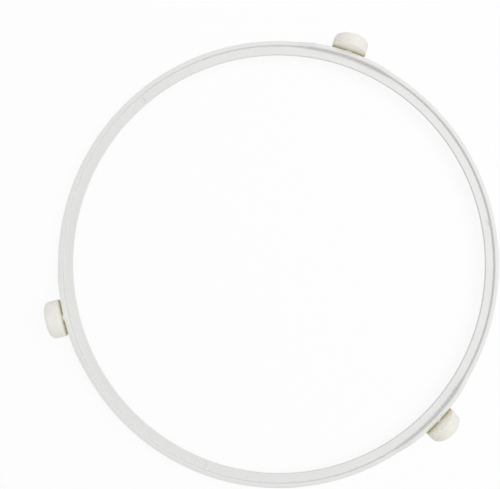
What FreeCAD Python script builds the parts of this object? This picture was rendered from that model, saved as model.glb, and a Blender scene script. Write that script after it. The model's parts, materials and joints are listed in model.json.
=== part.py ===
import FreeCAD
import Part
import math
import os

# Roller ring of a microwave oven: a moulded ring with three rollers snapped onto its stub axles.
# Millimetres. The origin is on the ring's axis, in the plane that the rollers roll on.
# +Z is up, and the first roller's axle points along +X.

# Ring section
ring_outer_diameter = 200.0
wall_thickness = 2.0
wall_rise = 1.15             # wall above the flange's top
wall_drop = 2.3              # wall below the flange's underside
flange_width = 3.85
flange_thickness = 1.2
flange_below_axle = 0.5      # from the axle's centre down to the flange's top
edge_chamfer = 0.2           # along the ring's edges

# Raised stretch of wall behind each roller
hump_rise = 1.3              # above the plain wall
hump_flat_length = 32.0
hump_ramp_length = 8.0
hump_blend = 6.0             # radius where a ramp meets the level stretches

# Gate marks left by the mould on the flange's top
gate_bearings = (59.0, 173.0, 297.0)
gate_edge_margin = 0.45
gate_depth = 0.15
gate_nub_diameter = 0.8
gate_nub_height = 0.08

# Rollers
roller_count = 3
roller_diameter = 16.0
roller_width = 5.9
roller_wall_gap = 0.7
tread_outer_round = 1.7
tread_edge_flats = 3         # flats that make up that round
tread_inner_chamfer = 0.4
mouth_chamfer = 0.2          # at the bore's mouth, to lead the barb in
recess_depth = 2.2           # room for the axle's barbed end in the roller's outer face

# Stub axles
journal_diameter = 3.0
running_clearance = 0.075    # radial, between journal and bore
end_play = 0.2               # on each side of the roller
collar_shoulder = 0.4        # collar radius over journal radius
barb_overlap = 0.35          # barb radius over journal radius
barb_land = 0.3              # full-width length of the barb before its taper
barb_taper_length = 1.2
barb_tip_radius = 1.2
barb_side_clearance = 0.9    # from the barb to the recess's side
slot_width = 0.8
slot_root_from_collar = 1.2

# Radii and heights that follow
outer_radius = ring_outer_diameter / 2
wall_inner_radius = outer_radius - wall_thickness
flange_inner_radius = wall_inner_radius - flange_width
axle_height = roller_diameter / 2
flange_top = axle_height - flange_below_axle
flange_bottom = flange_top - flange_thickness
wall_top = flange_top + wall_rise
wall_bottom = flange_bottom - wall_drop
hump_top = wall_top + hump_rise

# Places along an axle, measured from the ring's axis
roller_inner_face = outer_radius + roller_wall_gap
roller_outer_face = roller_inner_face + roller_width
recess_floor = roller_outer_face - recess_depth
collar_end = roller_inner_face - end_play
barb_shoulder = recess_floor + end_play
barb_taper_start = barb_shoulder + barb_land
barb_tip = barb_taper_start + barb_taper_length
axle_root = outer_radius - wall_thickness / 2

# Radii about an axle
tread_radius = roller_diameter / 2
journal_radius = journal_diameter / 2
bore_radius = journal_radius + running_clearance
collar_radius = journal_radius + collar_shoulder
barb_radius = journal_radius + barb_overlap
recess_radius = barb_radius + barb_side_clearance

ORIGIN = FreeCAD.Vector(0, 0, 0)
X = FreeCAD.Vector(1, 0, 0)
Y = FreeCAD.Vector(0, 1, 0)
Z = FreeCAD.Vector(0, 0, 1)
AXLE_CENTRE = Z * axle_height

SHARP = "sharp"
CHAMFER = "chamfer"
ROUND = "round"


def flat_face(corners, across, up, start=ORIGIN):
    """A flat face from (across, up, form, size) corners: SHARP, or cut back by a CHAMFER or a ROUND."""
    points = [start + across * a + up * u for a, u, _, _ in corners]
    edges = []
    ends = []
    for i, (_, _, form, size) in enumerate(corners):
        here = points[i]
        back = (points[i - 1] - here).normalize()
        ahead = (points[(i + 1) % len(points)] - here).normalize()
        half_angle = back.getAngle(ahead) / 2
        setback = size / math.tan(half_angle) if form == ROUND else size
        enter = here + back * setback
        leave = here + ahead * setback
        if form == ROUND:
            middle = here + (back + ahead).normalize() * (size / math.sin(half_angle) - size)
            edges.append(Part.Arc(enter, middle, leave).toShape())
        if form == CHAMFER:
            edges.append(Part.makeLine(enter, leave))
        ends.append((enter, leave))
    for i, (enter, _) in enumerate(ends):
        edges.append(Part.makeLine(ends[i - 1][1], enter))
    return Part.Face(Part.Wire(Part.sortEdges(edges)[0]))


def around_ring(shape, bearing):
    """A copy of a shape turned about the ring's axis, in degrees."""
    turned = shape.copy()
    turned.rotate(ORIGIN, Z, bearing)
    return turned


def roller_bearings():
    return [360.0 / roller_count * i for i in range(roller_count)]


def plain_ring():
    """The flange and the plain wall, turned as one section; the wall's top edges stay sharp here."""
    section = [
        (flange_inner_radius, flange_bottom, CHAMFER, edge_chamfer),
        (wall_inner_radius, flange_bottom, SHARP, 0),
        (wall_inner_radius, wall_bottom, CHAMFER, edge_chamfer),
        (outer_radius, wall_bottom, CHAMFER, edge_chamfer),
        (outer_radius, wall_top, SHARP, 0),
        (wall_inner_radius, wall_top, SHARP, 0),
        (wall_inner_radius, flange_top, SHARP, 0),
        (flange_inner_radius, flange_top, CHAMFER, edge_chamfer),
    ]
    return flat_face(section, X, Z).revolve(ORIGIN, Z, 360)


def hump():
    """The raised stretch of wall behind the first roller, with a ramp at each end."""
    half_flat = hump_flat_length / 2
    half_length = half_flat + hump_ramp_length
    half_reach = half_length + hump_ramp_length
    side = [
        (-half_reach, flange_top, SHARP, 0),
        (half_reach, flange_top, SHARP, 0),
        (half_reach, wall_top, SHARP, 0),
        (half_length, wall_top, ROUND, hump_blend),
        (half_flat, hump_top, ROUND, hump_blend),
        (-half_flat, hump_top, ROUND, hump_blend),
        (-half_length, wall_top, ROUND, hump_blend),
        (-half_reach, wall_top, SHARP, 0),
    ]
    block = flat_face(side, Y, Z).extrude(X * (2 * outer_radius))
    disc = Part.makeCylinder(outer_radius, hump_top)
    core = Part.makeCylinder(wall_inner_radius, hump_top)
    return block.common(disc.cut(core))


def is_wall_top_edge(edge):
    """True for an edge along the inner or outer rim of the wall's top, humps included."""
    middle = edge.valueAt((edge.FirstParameter + edge.LastParameter) / 2)
    places = [middle] + [vertex.Point for vertex in edge.Vertexes]
    for place in places:
        radius = math.hypot(place.x, place.y)
        on_wall = min(abs(radius - outer_radius), abs(radius - wall_inner_radius)) < 1e-4
        if not on_wall or place.z < wall_top - 1e-4:
            return False
    return True


def gate_mark():
    """The round dimple of a gate, and the stub of plastic left standing in it."""
    middle = X * (flange_inner_radius + flange_width / 2) + Z * (flange_top - gate_depth)
    dimple = Part.makeCylinder(flange_width / 2 - gate_edge_margin, 2 * gate_depth, middle)
    nub = Part.makeCylinder(gate_nub_diameter / 2, gate_nub_height, middle)
    return dimple.cut(nub)


def stub_axle():
    """Collar, journal and split barbed end, along +X."""
    outline = [
        (axle_root, 0, SHARP, 0),
        (barb_tip, 0, SHARP, 0),
        (barb_tip, barb_tip_radius, SHARP, 0),
        (barb_taper_start, barb_radius, SHARP, 0),
        (barb_shoulder, barb_radius, SHARP, 0),
        (barb_shoulder, journal_radius, SHARP, 0),
        (collar_end, journal_radius, SHARP, 0),
        (collar_end, collar_radius, SHARP, 0),
        (axle_root, collar_radius, SHARP, 0),
    ]
    axle = flat_face(outline, X, Z, AXLE_CENTRE).revolve(AXLE_CENTRE, X, 360)
    slot_root = collar_end + slot_root_from_collar
    slot_length = barb_tip - slot_root
    slot_corner = FreeCAD.Vector(slot_root, -slot_width / 2, axle_height - collar_radius)
    slot = Part.makeBox(slot_length, slot_width, 2 * collar_radius, slot_corner)
    return axle.cut(slot)


def ring():
    moulding = plain_ring().fuse([around_ring(hump(), bearing) for bearing in roller_bearings()])
    moulding = moulding.removeSplitter()
    rim = [edge for edge in moulding.Edges if is_wall_top_edge(edge)]
    moulding = moulding.makeChamfer(edge_chamfer, rim)
    moulding = moulding.cut([around_ring(gate_mark(), bearing) for bearing in gate_bearings])
    moulding = moulding.fuse([around_ring(stub_axle(), bearing) for bearing in roller_bearings()])
    return moulding.removeSplitter()


def tread_outer_edge():
    """Corners of the tread's outer edge, whose flats lie tangent to its round."""
    turn = math.pi / 2 / (tread_edge_flats + 1)
    reach = tread_outer_round / math.cos(turn / 2)
    centre_along = roller_outer_face - tread_outer_round
    centre_out = tread_radius - tread_outer_round
    corners = []
    for i in range(tread_edge_flats + 1):
        angle = turn * (i + 0.5)
        along = centre_along + reach * math.sin(angle)
        out = centre_out + reach * math.cos(angle)
        corners.append((along, out, SHARP, 0))
    return corners


def roller():
    """A roller on the first axle: round-edged tread, bore, and a recess round the axle's end."""
    section = [
        (roller_inner_face, bore_radius, CHAMFER, mouth_chamfer),
        (roller_inner_face, tread_radius, CHAMFER, tread_inner_chamfer),
        *tread_outer_edge(),
        (roller_outer_face, recess_radius, SHARP, 0),
        (recess_floor, recess_radius, SHARP, 0),
        (recess_floor, bore_radius, SHARP, 0),
    ]
    return flat_face(section, X, Z, AXLE_CENTRE).revolve(AXLE_CENTRE, X, 360)


os.makedirs("parts", exist_ok=True)
ring().exportStep("parts/ring.step")
for number, bearing in enumerate(roller_bearings(), start=1):
    around_ring(roller(), bearing).exportStep(f"parts/roller_{number}.step")
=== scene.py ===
import json
import math

import bmesh
import bpy
from mathutils import Euler, Matrix, Vector


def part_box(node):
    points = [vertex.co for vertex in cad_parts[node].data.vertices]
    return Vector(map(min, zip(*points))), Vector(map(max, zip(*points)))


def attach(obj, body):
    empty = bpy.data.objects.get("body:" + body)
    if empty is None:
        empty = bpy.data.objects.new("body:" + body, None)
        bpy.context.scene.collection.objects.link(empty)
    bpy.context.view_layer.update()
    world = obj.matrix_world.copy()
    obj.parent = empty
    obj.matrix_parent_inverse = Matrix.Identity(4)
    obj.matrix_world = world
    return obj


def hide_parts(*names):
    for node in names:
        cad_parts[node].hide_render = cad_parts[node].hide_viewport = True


# Looks of a microwave roller ring: a white moulded ring with three cream rollers on its stub axles.
# Sizes are in millimetres, in the part's own frame, and become metres where a mesh or a lamp is made.

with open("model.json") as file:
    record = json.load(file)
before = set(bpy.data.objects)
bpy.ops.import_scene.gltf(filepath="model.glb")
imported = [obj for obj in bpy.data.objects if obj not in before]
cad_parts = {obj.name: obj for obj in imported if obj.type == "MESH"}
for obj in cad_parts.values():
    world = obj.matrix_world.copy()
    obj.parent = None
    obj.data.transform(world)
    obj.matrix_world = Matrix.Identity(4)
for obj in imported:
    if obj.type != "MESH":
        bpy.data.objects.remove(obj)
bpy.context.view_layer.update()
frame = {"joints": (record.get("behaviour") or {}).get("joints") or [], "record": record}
joints = frame["joints"]
mounts = {mount["name"]: mount for mount in frame["record"]["mounts"]}
MM = 0.001

# Places that the frame gives
roller_low, roller_high = [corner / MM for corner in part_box("roller_1")]
ring_low, ring_high = [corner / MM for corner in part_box("ring")]
AXLE_HEIGHT = joints[0]["pos_m"][2] / MM
ROLLER_INNER_FACE = roller_low.x
ROLLER_OUTER_FACE = roller_high.x
TREAD_RADIUS = roller_high.z - AXLE_HEIGHT
OUTER_RADIUS = -ring_low.x
WALL_BOTTOM = ring_low.z
HUMP_TOP = ring_high.z
BARB_TIP = ring_high.x
FLANGE_INNER_RADIUS = mounts["centre_opening"]["dims"]["r_mm"]

# Ring section
WALL_THICKNESS = 2.0
WALL_RISE = 1.15             # wall above the flange's top
FLANGE_THICKNESS = 1.2
FLANGE_BELOW_AXLE = 0.5
EDGE_ROUND = 0.2
INNER_RIM_ROUND = 0.6        # along the wall's top, on its inner side
ROOT_ROUND = 0.1             # where the wall and the flange meet
WALL_INNER_RADIUS = OUTER_RADIUS - WALL_THICKNESS
FLANGE_WIDTH = WALL_INNER_RADIUS - FLANGE_INNER_RADIUS
FLANGE_TOP = AXLE_HEIGHT - FLANGE_BELOW_AXLE
FLANGE_BOTTOM = FLANGE_TOP - FLANGE_THICKNESS
WALL_TOP = FLANGE_TOP + WALL_RISE

# Raised stretch of wall behind each roller
HUMP_HALF_FLAT = 16.0
HUMP_RAMP = 8.0
HUMP_BLEND = 6.0             # radius where a ramp meets the level stretches
HUMP_REACH_DEG = 16.0        # past a ramp's foot, on each side of an axle

# Stub axles
END_PLAY = 0.2
JOURNAL_RADIUS = 1.5
COLLAR_SHOULDER = 0.4        # collar radius over journal radius
BARB_OVERLAP = 0.35          # barb radius over journal radius
BARB_TIP_RADIUS = 1.2
BARB_TAPER = 1.2
BARB_LAND = 0.3
SLOT_WIDTH = 0.8
SLOT_FROM_COLLAR = 1.2
TIP_ROUND = 0.2
TAPER_ROUND = 0.12
SHOULDER_ROUND = 0.08
COLLAR_ROOT_ROUND = 0.1
COLLAR_EDGE_ROUND = 0.15
COLLAR_RADIUS = JOURNAL_RADIUS + COLLAR_SHOULDER
BARB_RADIUS = JOURNAL_RADIUS + BARB_OVERLAP
COLLAR_END = ROLLER_INNER_FACE - END_PLAY
BARB_TAPER_START = BARB_TIP - BARB_TAPER
BARB_SHOULDER = BARB_TAPER_START - BARB_LAND
SLOT_ROOT = COLLAR_END + SLOT_FROM_COLLAR
AXLE_ROOT = OUTER_RADIUS - WALL_THICKNESS / 2

# Rollers
RUNNING_CLEARANCE = 0.075    # radial, between journal and bore
BARB_SIDE_CLEARANCE = 0.9    # from the barb to the recess's side
TREAD_OUTER_ROUND = 1.7
TREAD_INNER_ROUND = 0.4
MOUTH_ROUND = 0.2
RECESS_RIM_ROUND = 0.2
RECESS_FLOOR_ROUND = 0.25
BORE_EDGE_ROUND = 0.1
BORE_RADIUS = JOURNAL_RADIUS + RUNNING_CLEARANCE
RECESS_RADIUS = BARB_RADIUS + BARB_SIDE_CLEARANCE
RECESS_FLOOR = BARB_SHOULDER - END_PLAY

# Gate marks on the flange
GATE_BEARINGS_DEG = (59.0, 173.0, 297.0)
GATE_EDGE_MARGIN = 0.45      # from a mark to the flange's edges
GATE_DEPTH = 0.35
GATE_SIDE_LEAN = 0.075       # how much narrower a mark is at its floor, as a radius
GATE_FLOOR_ROUND = 0.1
GATE_NUB_RADIUS = 0.4
GATE_NUB_HEIGHT = 0.15
GATE_NUB_ROUND = 0.04
GATE_RADIUS = FLANGE_WIDTH / 2 - GATE_EDGE_MARGIN

# Fineness of the meshes
ROUND_STEPS = 5
PLAIN_STEP_DEG = 1.0
RAMP_STEP_DEG = 0.25
LATHE_STEPS = 96
SHARP_FROM_DEG = 35.0
CUT_OVERSHOOT = 1.0          # of a cutting tool, past the piece
TOLERANCE = 1e-6

# Plastics: two shades of each colour, and the middle of the roughness
RING_PALE = (0.80, 0.80, 0.785)
RING_DEEP = (0.785, 0.785, 0.77)
RING_ROUGHNESS = 0.45
ROLLER_PALE = (0.98, 0.98, 0.975)
ROLLER_DEEP = (0.97, 0.969, 0.962)
ROLLER_ROUGHNESS = 0.40
ROLLER_LET_THROUGH = 0.45    # share of the light that goes through a roller's surface
ROLLER_TINT = (0.97, 0.955, 0.87)
# Painted shade in the gap between each roller and the ring's wall: the rollers' colour turns towards this
# where another surface stands close by
GAP_PAINTED_SHADE = (0.62, 0.57, 0.36)
GAP_SHADE_REACH = 4.0
GAP_SHADE_SHUT = 0.1               # share of open sky at which the gap's painted shade is full
CLOUD_SIZE = 14.0
GLOSS_SIZE = 5.0
GLOSS_RANGE = 0.05           # roughness above and below its middle
GRAIN_SIZE = 0.25
GRAIN_DEPTH = 0.01
GRAIN_STRENGTH = 0.4
NOISE_DETAIL = 3.0
NOISE_LOW = 0.3              # most of a noise lies between these
NOISE_HIGH = 0.7

# Studio
FLOOR_REACH = 4000.0         # from the middle to each side
FLOOR_COLOUR = (0.92, 0.92, 0.92)
FLOOR_ROUGHNESS = 0.9
FLOOR_WHITE = 0.90           # share of plain white in what the camera sees of the floor
WHITE = (1.0, 1.0, 1.0)
SKY_STRENGTH = 0.55
KEY_AT = (215.0, -312.0, 985.0)
KEY_DIAMETER = 890.0
KEY_WATTS = 5.40

# Camera, fitted to the photograph
IMAGE_WIDTH_PX = 500
FOCAL_LENGTH_PX = 567.31
SENSOR_WIDTH = 36.0
CAMERA_AT = (-13.881, 44.859, 259.003)
CAMERA_TURN_DEG = (1.9022, -6.7191, -73.7176)
CAMERA_NEAR = 10.0

X = Vector((1, 0, 0))
Z = Vector((0, 0, 1))
AXLE_CENTRE = Z * AXLE_HEIGHT


def rounded(corners):
    """Points along an outline of (along, up, radius) corners; a radius of 0 leaves a corner sharp."""
    points = []
    for i, (along, up, radius) in enumerate(corners):
        here = Vector((along, up))
        if radius == 0:
            points.append(here)
            continue
        back = (Vector(corners[i - 1][:2]) - here).normalized()
        ahead = (Vector(corners[(i + 1) % len(corners)][:2]) - here).normalized()
        half_angle = back.angle(ahead) / 2
        centre = here + (back + ahead).normalized() * (radius / math.sin(half_angle))
        setback = radius / math.tan(half_angle)
        first = (here + back * setback - centre).normalized()
        last = (here + ahead * setback - centre).normalized()
        for step in range(ROUND_STEPS + 1):
            points.append(centre + first.slerp(last, step / ROUND_STEPS) * radius)
    return points


def new_piece(name, shell):
    """An object of a finished bmesh, which is used up."""
    bmesh.ops.recalc_face_normals(shell, faces=shell.faces)
    bmesh.ops.scale(shell, vec=(MM, MM, MM), verts=shell.verts)
    mesh = bpy.data.meshes.new(name)
    shell.to_mesh(mesh)
    shell.free()
    piece = bpy.data.objects.new(name, mesh)
    bpy.context.scene.collection.objects.link(piece)
    return piece


def lathe(name, profile, axis, out, centre):
    """A closed piece turned from a profile of (along, out) points about an axis through centre."""
    shell = bmesh.new()
    rows = []
    for along, radius in profile:
        row = []
        for step in range(LATHE_STEPS if radius else 1):
            turn = Matrix.Rotation(2 * math.pi * step / LATHE_STEPS, 3, axis)
            row.append(shell.verts.new(centre + axis * along + turn @ out * radius))
        rows.append(row)
    for row, following in zip(rows, rows[1:] + rows[:1]):
        for step in range(LATHE_STEPS):
            corners = [ends[at % len(ends)] for ends, at in (
                (row, step), (row, step + 1), (following, step + 1), (following, step))]
            corners = list(dict.fromkeys(corners))
            if len(corners) > 2:
                shell.faces.new(corners)
    return new_piece(name, shell)


def turned(piece, bearing_deg):
    """The piece turned about the ring's axis."""
    piece.matrix_world = Matrix.Rotation(math.radians(bearing_deg), 4, "Z")
    return piece


def combine(piece, tools, operation):
    """Joins the tools to the piece's mesh, or cuts them from it; the tools are used up."""
    for tool in tools:
        step = piece.modifiers.new(tool.name, "BOOLEAN")
        step.operation = operation
        step.solver = "EXACT"
        step.object = tool
    bpy.context.view_layer.update()
    graph = bpy.context.evaluated_depsgraph_get()
    made = bpy.data.meshes.new_from_object(piece.evaluated_get(graph))
    made.name = piece.name
    piece.modifiers.clear()
    piece.data = made
    for tool in tools:
        bpy.data.objects.remove(tool)


def smooth(piece):
    """Soft shading over the rounds, with flats kept flat and hard corners kept hard."""
    piece.data.shade_smooth()
    piece.data.set_sharp_from_angle(angle=math.radians(SHARP_FROM_DEG))
    normals = piece.modifiers.new("normals", "WEIGHTED_NORMAL")
    normals.keep_sharp = True
    return piece


def joint_bearing(joint):
    """Direction of a roller's axle about the ring's axis, in degrees."""
    return math.degrees(math.atan2(joint["axis"][1], joint["axis"][0]))


def hump_rise(across):
    """Height of the wall's top over the plain wall, at a distance across from a roller's axle."""
    rise = HUMP_TOP - WALL_TOP
    slope = math.atan2(rise, HUMP_RAMP)
    tangent = HUMP_BLEND * math.tan(slope / 2)
    across = abs(across)
    foot = HUMP_HALF_FLAT + HUMP_RAMP
    if across < HUMP_HALF_FLAT - tangent:
        return rise
    if across < HUMP_HALF_FLAT + tangent * math.cos(slope):
        past = across - (HUMP_HALF_FLAT - tangent)
        return rise - HUMP_BLEND + math.sqrt(HUMP_BLEND**2 - past**2)
    if across < foot - tangent * math.cos(slope):
        return (foot - across) * math.tan(slope)
    if across < foot + tangent:
        left = foot + tangent - across
        return HUMP_BLEND - math.sqrt(HUMP_BLEND**2 - left**2)
    return 0.0


def ring_bearings():
    """Bearings of the ring's mesh columns, in degrees, closer together along the humps."""
    bearings = []
    spacing = 360.0 / len(joints)
    for joint in range(len(joints)):
        steps = int(2 * HUMP_REACH_DEG / RAMP_STEP_DEG)
        for step in range(steps):
            bearings.append(joint * spacing - HUMP_REACH_DEG + step * RAMP_STEP_DEG)
        plain = spacing - 2 * HUMP_REACH_DEG
        for step in range(int(plain / PLAIN_STEP_DEG)):
            bearings.append(joint * spacing + HUMP_REACH_DEG + step * PLAIN_STEP_DEG)
    return bearings


def ring_shell():
    """The ring without its stub axles and gate marks: one section carried round, raised at the humps."""
    section = rounded([
        (FLANGE_INNER_RADIUS, FLANGE_BOTTOM, EDGE_ROUND),
        (WALL_INNER_RADIUS, FLANGE_BOTTOM, ROOT_ROUND),
        (WALL_INNER_RADIUS, WALL_BOTTOM, EDGE_ROUND),
        (OUTER_RADIUS, WALL_BOTTOM, EDGE_ROUND),
        (OUTER_RADIUS, WALL_TOP, EDGE_ROUND),
        (WALL_INNER_RADIUS, WALL_TOP, INNER_RIM_ROUND),
        (WALL_INNER_RADIUS, FLANGE_TOP, ROOT_ROUND),
        (FLANGE_INNER_RADIUS, FLANGE_TOP, EDGE_ROUND),
    ])
    spacing = 360.0 / len(joints)
    rim_from = WALL_TOP - INNER_RIM_ROUND - TOLERANCE
    shell = bmesh.new()
    columns = []
    for bearing in ring_bearings():
        angle = math.radians(bearing)
        from_axle = math.radians((bearing + spacing / 2) % spacing - spacing / 2)
        column = []
        for radius, height in section:
            if height > rim_from:
                height += hump_rise(radius * math.sin(from_axle))
            place = Vector((radius * math.cos(angle), radius * math.sin(angle), height))
            column.append(shell.verts.new(place))
        columns.append(column)
    for column, following in zip(columns, columns[1:] + columns[:1]):
        for i in range(len(section)):
            shell.faces.new((column[i - 1], following[i - 1], following[i], column[i]))
    return new_piece("ring_moulding", shell)


def slot_tool():
    """The slot that splits a stub axle's end, as a tool to cut with."""
    length = BARB_TIP + CUT_OVERSHOOT - SLOT_ROOT
    height = 2 * (BARB_RADIUS + CUT_OVERSHOOT)
    centre = Matrix.Translation(AXLE_CENTRE + X * (SLOT_ROOT + length / 2))
    size = Matrix.Diagonal((length, SLOT_WIDTH, height, 1))
    shell = bmesh.new()
    bmesh.ops.create_cube(shell, size=1.0, matrix=centre @ size)
    return new_piece("slot", shell)


def stub_axle(bearing_deg):
    """Collar, journal and split barbed end of one axle."""
    profile = rounded([
        (BARB_TIP, 0, 0),
        (BARB_TIP, BARB_TIP_RADIUS, TIP_ROUND),
        (BARB_TAPER_START, BARB_RADIUS, TAPER_ROUND),
        (BARB_SHOULDER, BARB_RADIUS, SHOULDER_ROUND),
        (BARB_SHOULDER, JOURNAL_RADIUS, SHOULDER_ROUND),
        (COLLAR_END, JOURNAL_RADIUS, COLLAR_ROOT_ROUND),
        (COLLAR_END, COLLAR_RADIUS, COLLAR_EDGE_ROUND),
        (AXLE_ROOT, COLLAR_RADIUS, 0),
        (AXLE_ROOT, 0, 0),
    ])
    axle = lathe("axle", profile, X, Z, AXLE_CENTRE)
    combine(axle, [slot_tool()], "DIFFERENCE")
    return turned(axle, bearing_deg)


def gate_tool(bearing_deg):
    """The hollow of one gate mark, round the stub that stands in it, as a tool to cut with."""
    nub_top = GATE_NUB_HEIGHT - GATE_DEPTH
    profile = rounded([
        (GATE_DEPTH, 0, 0),
        (GATE_DEPTH, GATE_RADIUS, 0),
        (0, GATE_RADIUS, 0),
        (-GATE_DEPTH, GATE_RADIUS - GATE_SIDE_LEAN, GATE_FLOOR_ROUND),
        (-GATE_DEPTH, GATE_NUB_RADIUS, GATE_NUB_ROUND),
        (nub_top, GATE_NUB_RADIUS, GATE_NUB_ROUND),
        (nub_top, 0, 0),
    ])
    middle = X * (FLANGE_INNER_RADIUS + FLANGE_WIDTH / 2) + Z * FLANGE_TOP
    return turned(lathe("gate", profile, Z, X, middle), bearing_deg)


def make_ring():
    ring = ring_shell()
    combine(ring, [gate_tool(bearing) for bearing in GATE_BEARINGS_DEG], "DIFFERENCE")
    combine(ring, [stub_axle(joint_bearing(joint)) for joint in joints], "UNION")
    return smooth(ring)


def make_roller(joint):
    """One roller: a round-edged tread, a bore, and a recess round the axle's end."""
    profile = rounded([
        (ROLLER_INNER_FACE, BORE_RADIUS, MOUTH_ROUND),
        (ROLLER_INNER_FACE, TREAD_RADIUS, TREAD_INNER_ROUND),
        (ROLLER_OUTER_FACE, TREAD_RADIUS, TREAD_OUTER_ROUND),
        (ROLLER_OUTER_FACE, RECESS_RADIUS, RECESS_RIM_ROUND),
        (RECESS_FLOOR, RECESS_RADIUS, RECESS_FLOOR_ROUND),
        (RECESS_FLOOR, BORE_RADIUS, BORE_EDGE_ROUND),
    ])
    roller = lathe(joint["child"] + "_moulding", profile, X, Z, AXLE_CENTRE)
    return smooth(turned(roller, joint_bearing(joint)))


def new_material(name):
    """A material with its tree, its surface shader and its output."""
    material = bpy.data.materials.new(name)
    material.use_nodes = True
    tree = material.node_tree
    return material, tree, tree.nodes["Principled BSDF"], tree.nodes["Material Output"]


def noise(tree, size_mm):
    """A noise with features of about the given size, on the piece's own coordinates."""
    place = tree.nodes.new("ShaderNodeTexCoord")
    texture = tree.nodes.new("ShaderNodeTexNoise")
    texture.inputs["Scale"].default_value = 1.0 / (size_mm * MM)
    texture.inputs["Detail"].default_value = NOISE_DETAIL
    tree.links.new(place.outputs["Object"], texture.inputs["Vector"])
    return texture.outputs["Fac"]


def spread(tree, value, low, high, least=NOISE_LOW, most=NOISE_HIGH):
    """A value between least and most, spread over a range from low to high."""
    node = tree.nodes.new("ShaderNodeMapRange")
    node.inputs["From Min"].default_value = least
    node.inputs["From Max"].default_value = most
    node.inputs["To Min"].default_value = low
    node.inputs["To Max"].default_value = high
    tree.links.new(value, node.inputs["Value"])
    return node.outputs["Result"]


def mixed(tree, share, first, second):
    """A colour between two, each a plain colour or the output of a node."""
    node = tree.nodes.new("ShaderNodeMix")
    node.data_type = "RGBA"
    tree.links.new(share, node.inputs["Factor"])
    for colour, socket in zip((first, second), [s for s in node.inputs if s.type == "RGBA"]):
        if isinstance(colour, tuple):
            socket.default_value = (*colour, 1.0)
        else:
            tree.links.new(colour, socket)
    return [s for s in node.outputs if s.type == "RGBA"][0]


def mixed_shaders(tree, first, second, output):
    """Leads a mix of two shaders to an output, and gives the input for the second one's share."""
    node = tree.nodes.new("ShaderNodeMixShader")
    tree.links.new(first, node.inputs[1])
    tree.links.new(second, node.inputs[2])
    tree.links.new(node.outputs["Shader"], output)
    return node.inputs["Fac"]


def added(tree, first, second):
    """The sum of two values, at most one."""
    node = tree.nodes.new("ShaderNodeMath")
    node.operation = "ADD"
    node.use_clamp = True
    tree.links.new(first, node.inputs[0])
    tree.links.new(second, node.inputs[1])
    return node.outputs[0]


def bump(tree, height, depth_mm, strength):
    node = tree.nodes.new("ShaderNodeBump")
    node.inputs["Distance"].default_value = depth_mm * MM
    node.inputs["Strength"].default_value = strength
    tree.links.new(height, node.inputs["Height"])
    return node.outputs["Normal"]


def moulded_plastic(name, pale, deep, roughness):
    """Satin moulded plastic: faint clouds in its colour and gloss, and a fine grain."""
    material, tree, shader, _ = new_material(name)
    clouds = spread(tree, noise(tree, CLOUD_SIZE), 0.0, 1.0)
    tree.links.new(mixed(tree, clouds, pale, deep), shader.inputs["Base Color"])
    gloss = spread(tree, noise(tree, GLOSS_SIZE), roughness - GLOSS_RANGE, roughness + GLOSS_RANGE)
    tree.links.new(gloss, shader.inputs["Roughness"])
    grain = bump(tree, noise(tree, GRAIN_SIZE), GRAIN_DEPTH, GRAIN_STRENGTH)
    tree.links.new(grain, shader.inputs["Normal"])
    return material


def let_through(material, share, tint):
    """Lets a share of the light pass the surface and come out elsewhere, tinted on its way."""
    tree = material.node_tree
    through = tree.nodes.new("ShaderNodeBsdfTranslucent")
    through.name = "through"
    through.inputs["Color"].default_value = (*tint, 1.0)
    surface = tree.nodes["Principled BSDF"].outputs["BSDF"]
    output = tree.nodes["Material Output"].inputs["Surface"]
    mixed_shaders(tree, surface, through.outputs["BSDF"], output).default_value = share


def paint_shade_in_gaps(material, reach_mm, deep):
    """Paints shade into a material that lets light through: a deeper colour where another surface stands
    close by.
    """
    tree = material.node_tree
    near = tree.nodes.new("ShaderNodeAmbientOcclusion")
    near.inputs["Distance"].default_value = reach_mm * MM
    unshaded_share = spread(tree, near.outputs["AO"], 0.0, 1.0, GAP_SHADE_SHUT, 1.0)
    # Light inside the piece meets the back of its surface, which keeps its own colour, without the painted
    # shade.
    inside = tree.nodes.new("ShaderNodeNewGeometry").outputs["Backfacing"]
    clear = added(tree, unshaded_share, inside)
    base = tree.nodes["Principled BSDF"].inputs["Base Color"]
    # Painted shade: the base colour and the tint of the light let through both turn deeper in the gap.
    tree.links.new(mixed(tree, clear, deep, base.links[0].from_socket), base)
    tint = tree.nodes["through"].inputs["Color"]
    tree.links.new(mixed(tree, clear, deep, tuple(tint.default_value)[:3]), tint)


def make_roller_plastic():
    """Cream plastic that glows a little, with painted shade in the gap at the wall."""
    material = moulded_plastic("roller_plastic", ROLLER_PALE, ROLLER_DEEP, ROLLER_ROUGHNESS)
    let_through(material, ROLLER_LET_THROUGH, ROLLER_TINT)
    paint_shade_in_gaps(material, GAP_SHADE_REACH, GAP_PAINTED_SHADE)
    return material


def dress(piece, node, material):
    """Gives a piece its material, and puts it in the place of a CAD node, on the body of the same name."""
    piece.data.materials.clear()
    piece.data.materials.append(material)
    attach(piece, node)
    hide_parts(node)


def seen_as_background(tree):
    """One for rays that show the plain background: seen, mirrored and sent through ones."""
    paths = tree.nodes.new("ShaderNodeLightPath")
    shown = added(tree, paths.outputs["Is Camera Ray"], paths.outputs["Is Glossy Ray"])
    return added(tree, shown, paths.outputs["Is Transmission Ray"])


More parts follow.
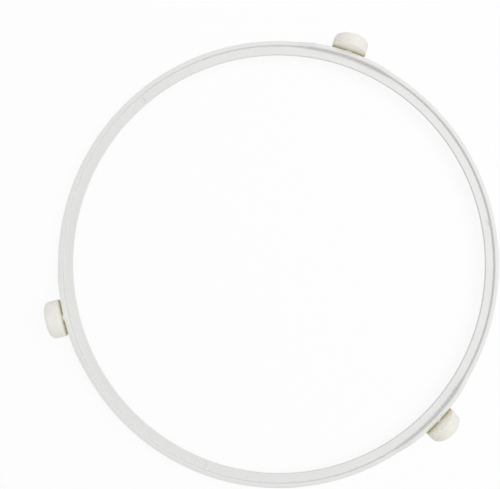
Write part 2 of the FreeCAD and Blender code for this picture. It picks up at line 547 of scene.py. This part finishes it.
def make_floor():
    """A wide pale floor. The camera sees it nearly white, with the object's shadow on it."""
    shell = bmesh.new()
    bmesh.ops.create_grid(shell, x_segments=1, y_segments=1, size=FLOOR_REACH)
    floor = new_piece("floor", shell)
    material, tree, shader, output = new_material("floor_paper")
    shader.inputs["Base Color"].default_value = (*FLOOR_COLOUR, 1.0)
    shader.inputs["Roughness"].default_value = FLOOR_ROUGHNESS
    white = tree.nodes.new("ShaderNodeEmission")
    share = mixed_shaders(tree, shader.outputs["BSDF"], white.outputs["Emission"], output.inputs["Surface"])
    tree.links.new(spread(tree, seen_as_background(tree), 0.0, FLOOR_WHITE, 0.0, 1.0), share)
    floor.data.materials.append(material)


def make_world():
    """Soft light from all round; the camera sees white beyond the floor."""
    world = bpy.data.worlds.new("studio")
    bpy.context.scene.world = world
    world.use_nodes = True
    tree = world.node_tree
    light = tree.nodes["Background"]
    light.inputs["Color"].default_value = (*WHITE, 1.0)
    light.inputs["Strength"].default_value = SKY_STRENGTH
    white = tree.nodes.new("ShaderNodeBackground")
    white.inputs["Color"].default_value = (*WHITE, 1.0)
    output = tree.nodes["World Output"].inputs["Surface"]
    share = mixed_shaders(tree, light.outputs["Background"], white.outputs["Background"], output)
    tree.links.new(seen_as_background(tree), share)


def make_lamp(name, place, diameter, watts):
    """A round soft lamp that points at the frame's origin."""
    lamp = bpy.data.lights.new(name, "AREA")
    lamp.shape = "DISK"
    lamp.size = diameter * MM
    lamp.energy = watts
    stand = bpy.data.objects.new(name, lamp)
    stand.location = Vector(place) * MM
    stand.rotation_euler = (-Vector(place)).to_track_quat("-Z", "Y").to_euler()
    bpy.context.scene.collection.objects.link(stand)


def make_camera():
    camera = bpy.data.cameras.new("camera")
    camera.sensor_width = SENSOR_WIDTH
    camera.lens = FOCAL_LENGTH_PX / IMAGE_WIDTH_PX * SENSOR_WIDTH
    camera.clip_start = CAMERA_NEAR * MM
    stand = bpy.data.objects.new("camera", camera)
    stand.location = Vector(CAMERA_AT) * MM
    stand.rotation_euler = Euler([math.radians(turn) for turn in CAMERA_TURN_DEG])
    bpy.context.scene.collection.objects.link(stand)
    bpy.context.scene.camera = stand


ring_plastic = moulded_plastic("ring_plastic", RING_PALE, RING_DEEP, RING_ROUGHNESS)
roller_plastic = make_roller_plastic()
dress(make_ring(), "ring", ring_plastic)
for joint in joints:
    dress(make_roller(joint), joint["child"], roller_plastic)

make_floor()
make_world()
make_lamp("key", KEY_AT, KEY_DIAMETER, KEY_WATTS)
make_camera()
bpy.context.scene.view_settings.view_transform = "Standard"
